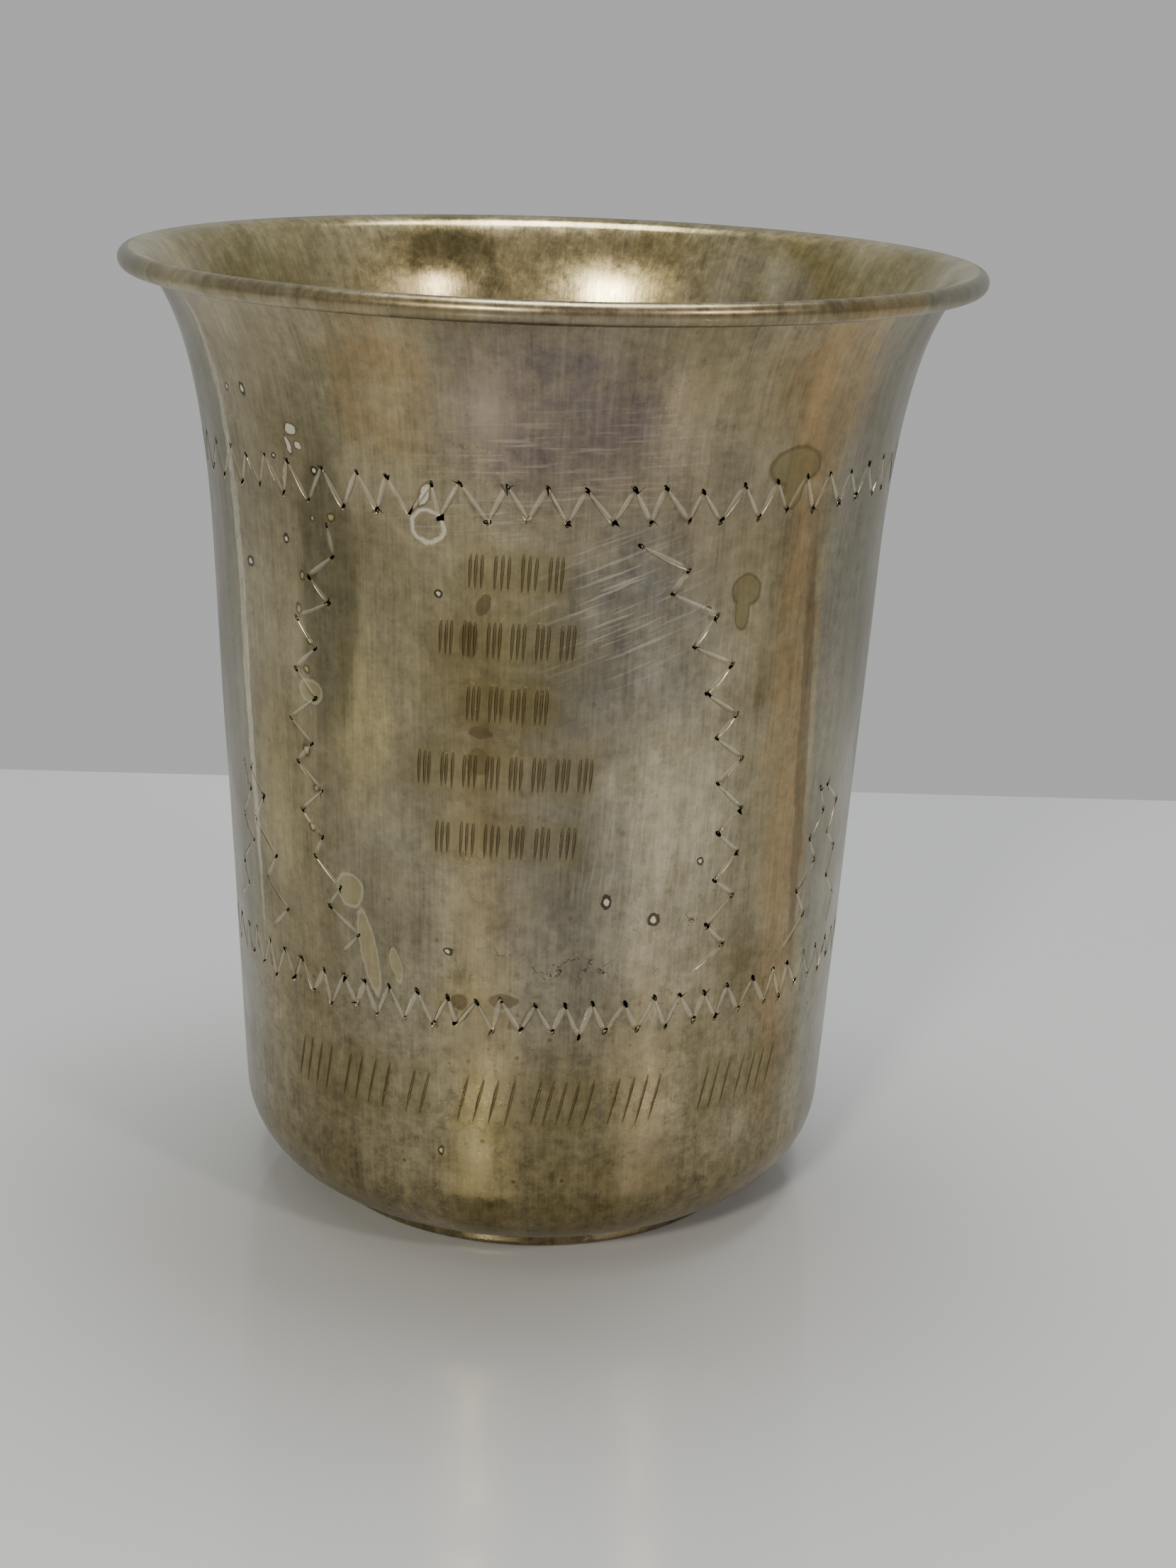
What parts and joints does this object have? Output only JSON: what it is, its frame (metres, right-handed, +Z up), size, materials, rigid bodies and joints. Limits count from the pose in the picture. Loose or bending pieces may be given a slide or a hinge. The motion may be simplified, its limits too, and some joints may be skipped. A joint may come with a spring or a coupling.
{
  "type": "kiddush cup",
  "caption": "Small spun silver beaker for blessing wine, with a rolled rim, a curved lip, a slightly flared wall, a round bottom corner, a low foot ring and engraved zigzag bands.",
  "frame": {"origin": "centre of the foot ring, on the surface that the cup stands on", "axes": "+Z up along the cup's axis of revolution; the engraved panel faces -Y"},
  "size_m": [0.066, 0.066, 0.0755],
  "materials": {
    "silver": "tarnished sterling silver, worn satin"
  },
  "bodies": {
    "root": {"cup": "silver"}
  },
  "joints": []
}
